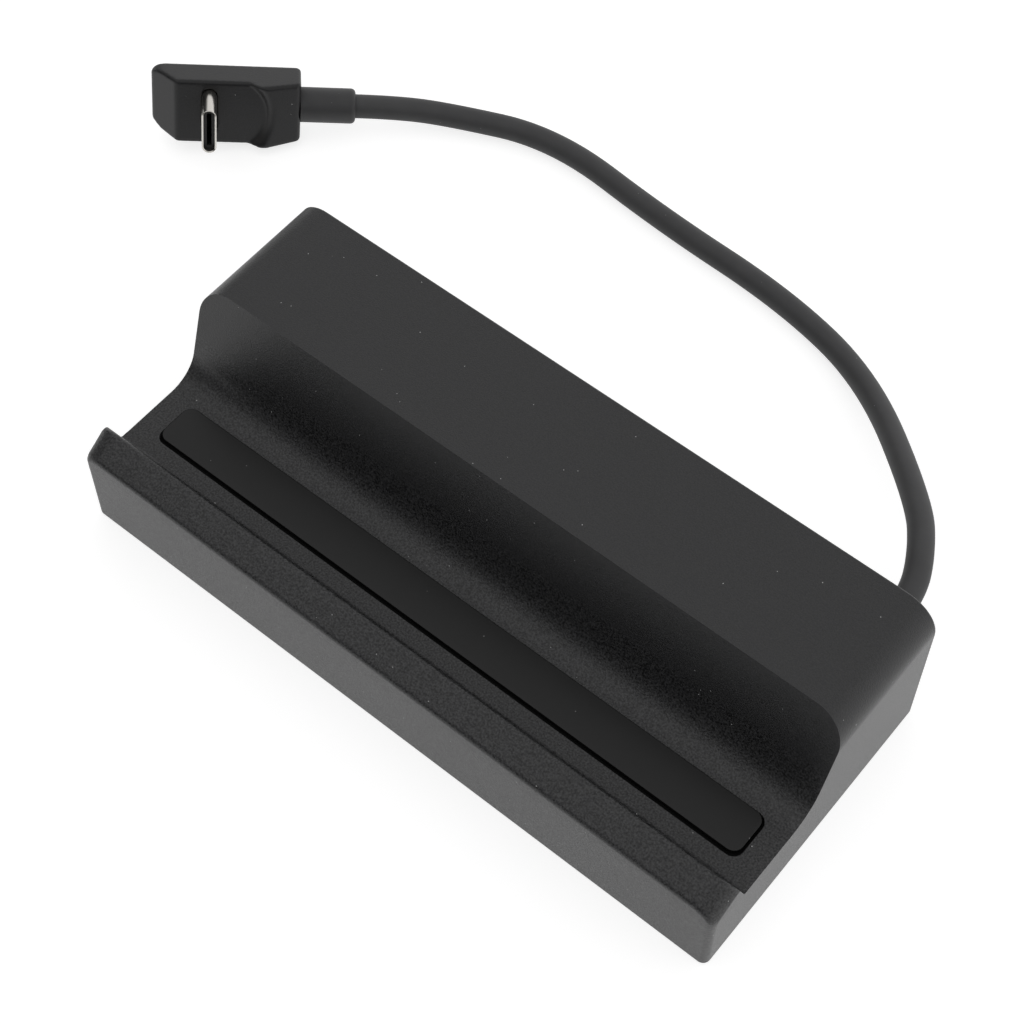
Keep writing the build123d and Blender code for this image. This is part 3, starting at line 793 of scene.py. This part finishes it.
def metal_strips(name, finish, strip, turn, row, place=None):
    """A row of contacts or springs, made a plain mesh, moved to its place and set on the body."""
    strips = link(name, bpy.data.meshes.new(name))
    maker = strips.modifiers.new("row", "NODES")
    maker.node_group = contact_row
    inputs = {size: value * mm for size, value in strip.items()}
    inputs |= {"Turn": turn, "Finish": materials[finish], **row}
    for item in contact_row.interface.items_tree:
        if item.in_out == "INPUT":
            maker[item.identifier] = inputs[item.name]
    made_plain(strips)
    if place:
        strips.data.transform(place)
    return dress(strips, "socket_steel", finish=finish)


def spaced(middle, count, pitch, axis):
    """The first place and the step of an evenly spaced row about its middle."""
    step = Vector(axis) * pitch
    return {"Count": count, "First": middle - step * (count - 1) / 2, "Step": step}


def tongue_front(node):
    """The middle of the front edge of a socket's tongue."""
    low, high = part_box(node)
    return Vector(((low.x + high.x) / 2, high.y, (low.z + high.z) / 2))


def tongue_contacts(socket, half, counts, pitch, strip):
    """Contacts on both faces of a level tongue."""
    faces = (("upper", 1, 0.0), ("lower", -1, pi))
    for (face, side, turn), count in zip(faces, counts):
        middle = tongue_front(f"{socket}_insert") + Vector((0, 0, side * half))
        row = spaced(middle, count, pitch, (1, 0, 0))
        metal_strips(f"{socket}_{face}_contacts", "contact", strip, (0, turn, 0), row)


def data_metal(socket):
    """Contacts on a data socket's upright tongue, and springs pressed from its shell."""
    middle = tongue_front(f"{socket}_insert")
    contacts = spaced(middle + Vector((data_tongue_face, 0, 0)), *data_contact_row, (0, 0, 1))
    metal_strips(f"{socket}_contacts", "contact", data_contact, (0, pi / 2, 0), contacts)
    springs = spaced(middle + Vector((data_wall, 0, 0)), *data_spring_row, (0, 0, 1))
    metal_strips(f"{socket}_springs", "socket_steel", data_spring, (0, -pi / 2, 0), springs)


def network_wires():
    """Springs that slope down from the roof of the network socket's mouth."""
    low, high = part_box("network_socket_insert")
    front = Vector(((low.x + high.x) / 2, high.y - network_setback, low.z + network_ceiling))
    wires = spaced(front, *network_row, (1, 0, 0))
    metal_strips("network_socket_wires", "contact", network_wire, (network_slope, 0, 0), wires)


def latch_springs():
    """The two springs at the ends of the connector's slot, which hold it in its socket."""
    springs = []
    for name, side, turn in (("lower", -1, (0, 0, pi)), ("upper", 1, (pi, 0, 0))):
        end = Vector((connector_x, -slot_front, side * slot_half))
        single = spaced(end, 1, 0.0, (0, 0, 1))
        springs.append(metal_strips(
            f"plug_{name}_latch_spring", "socket_steel", latch_spring, turn, single, plug_frame()
        ))
    return springs


dress(slab("cradle_pad", pad_corner, pad_edge, True, pad_spread), "pad", replaced=["cradle_pad"])
pad_shade_film()
lip_crown()
dress(slab("base_foot", foot_corner, foot_edge, False), "foot", replaced=["base_foot"])
lead = cable()
plug_pieces = [plug_body(), plug_sleeve(), plug_shell()]
for node, slot in (
    ("top_shell", "housing"),
    ("bottom_cover", "cover"),
    ("cable_grommet", "sleeve"),
    ("plug_insert", "insulator"),
    ("power_socket_shell", "socket_steel"),
    ("power_socket_insert", "insulator"),
):
    piece = dress(smooth_copy(node), slot, replaced=[node])
    if node.startswith(("plug", "cable")):
        plug_pieces.append(piece)

contact_row = contact_tree()
for number in (1, 2, 3):
    data_metal(f"data_socket_{number}")
for socket, tongue in tongue_sockets.items():
    tongue_contacts(socket, *tongue)
network_wires()
plug_pieces += latch_springs()

# The nodes that no piece replaces show as they are, each with the finish of its slot
for subpart in frame["record"]["subparts"]:
    mesh = nodes[subpart["node"]].data
    mesh.materials.clear()
    mesh.materials.append(materials[subpart["material_slot"]])


# Studio
def studio_floor():
    """A white table that keeps the object's soft shadow and shows white to the camera and gloss."""
    corners = [(-1, -1), (1, -1), (1, 1), (-1, 1)]
    mesh = bpy.data.meshes.new("table")
    mesh.from_pydata([(x * floor_half, y * floor_half, 0.0) for x, y in corners], [], [(0, 1, 2, 3)])
    table = link("table", mesh)
    material = bpy.data.materials.new("white_table")
    material.use_nodes = True
    tree = material.node_tree
    tree.nodes.clear()
    rays = add_node(tree, "ShaderNodeLightPath")
    seen = add_node(
        tree, "ShaderNodeMath",
        {0: rays.outputs["Is Camera Ray"], 1: rays.outputs["Is Glossy Ray"]}, operation="MAXIMUM",
    )
    seen = add_node(
        tree, "ShaderNodeMath",
        {0: seen.outputs[0], 1: rays.outputs["Is Transmission Ray"]}, operation="MAXIMUM",
    )
    glow = add_node(
        tree, "ShaderNodeMath", {0: seen.outputs[0], 1: floor_glow}, operation="MULTIPLY"
    )
    light = add_node(tree, "ShaderNodeEmission", {"Strength": glow.outputs[0]})
    white = add_node(tree, "ShaderNodeBsdfDiffuse", {"Color": linear(floor_colour)})
    both = add_node(tree, "ShaderNodeAddShader", {0: light.outputs[0], 1: white.outputs[0]})
    add_node(tree, "ShaderNodeOutputMaterial", {"Surface": both.outputs[0]})
    mesh.materials.append(material)


def level_ramp(tree, height, levels):
    """How bright the sky is by the sine of the height above the table."""
    ramp = add_node(tree, "ShaderNodeValToRGB", {0: height})
    stops = ramp.color_ramp.elements
    for position, level in levels[1:-1]:
        stops.new(position).color = (level, level, level, 1.0)
    for stop, (position, level) in ((stops[0], levels[0]), (stops[-1], levels[-1])):
        stop.position = position
        stop.color = (level, level, level, 1.0)
    return ramp.outputs["Color"]


def studio_sky():
    """Soft light from overhead, a white screen behind the object and a dark room before it."""
    scene.world = bpy.data.worlds.new("soft_studio")
    scene.world.use_nodes = True
    tree = scene.world.node_tree
    tree.nodes.clear()
    direction = add_node(tree, "ShaderNodeTexCoord")
    parts = add_node(tree, "ShaderNodeSeparateXYZ", {0: direction.outputs["Generated"]})
    across_seam = add_node(
        tree, "ShaderNodeVectorMath",
        {0: direction.outputs["Generated"], 1: (sin(sky_turn), cos(sky_turn), 0.0)},
        operation="DOT_PRODUCT",
    )
    behind = add_node(
        tree, "ShaderNodeMapRange",
        {"Value": across_seam.outputs["Value"], "From Min": -sky_seam, "From Max": sky_seam},
    )
    level = add_node(
        tree, "ShaderNodeMix",
        {
            FACTOR: behind.outputs["Result"],
            COLOUR_A: level_ramp(tree, parts.outputs["Z"], front_sky),
            COLOUR_B: level_ramp(tree, parts.outputs["Z"], back_sky),
        },
        data_type="RGBA",
    )
    sky = add_node(tree, "ShaderNodeBackground", {"Color": level.outputs[COLOUR]})
    add_node(tree, "ShaderNodeOutputWorld", {"Surface": sky.outputs[0]})


def camera():
    """The camera of the photograph, turned about its target."""
    back = Vector((
        sin(camera_azimuth) * cos(camera_elevation),
        -cos(camera_azimuth) * cos(camera_elevation),
        sin(camera_elevation),
    ))
    level = Vector((cos(camera_azimuth), sin(camera_azimuth), 0.0))
    rise = back.cross(level)
    right = level * cos(camera_roll) + rise * sin(camera_roll)
    up = rise * cos(camera_roll) - level * sin(camera_roll)
    data = bpy.data.cameras.new("camera")
    data.sensor_width = sensor_mm
    data.lens = focal_px / image_px * sensor_mm
    data.clip_start = camera_near
    eye = link("camera", data)
    turn = Matrix((right, up, back)).transposed().to_4x4()
    eye.matrix_world = Matrix.Translation(camera_target + back * camera_distance) @ turn
    scene.camera = eye


studio_floor()
studio_sky()
camera()
scene.view_settings.view_transform = "Standard"
